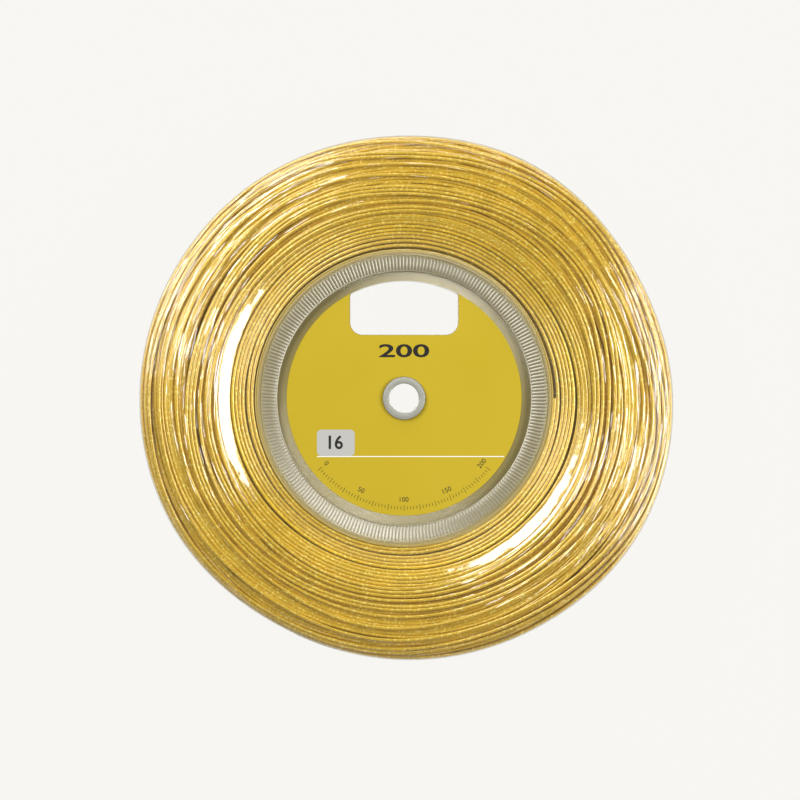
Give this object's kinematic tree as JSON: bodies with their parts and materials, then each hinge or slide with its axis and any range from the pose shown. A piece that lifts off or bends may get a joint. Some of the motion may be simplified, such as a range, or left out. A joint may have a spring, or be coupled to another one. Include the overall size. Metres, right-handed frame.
{
  "type": "string reel",
  "caption": "Flat reel of racket string: a two-part moulded hub with spindle bore and window, wound with string under clear shrink film.",
  "frame": {"origin": "centre of the underside, where the reel lies on its rear face; the spindle axis passes through it", "axes": "+Z is the spindle axis and points out of the front label, +Y points from the bore to the window, +X to the right of the front label"},
  "size_m": [0.188, 0.188, 0.026],
  "materials": {
    "hub": "satin moulded, silvery grey",
    "bush": "smooth moulded, cool grey",
    "label": "satin printed film, golden yellow",
    "string": "glossy extruded, metallic gold with an embossed surface",
    "film": "clear glossy shrink film",
    "tape": "matte adhesive tape"
  },
  "bodies": {
    "root": {"front_hub_half": "hub", "rear_hub_half": "hub", "front_bore_bush": "bush", "rear_bore_bush": "bush", "front_label": "label", "rear_label": "label", "string_winding": "string", "wrap_film": "film", "end_tape": "tape"}
  },
  "joints": []
}
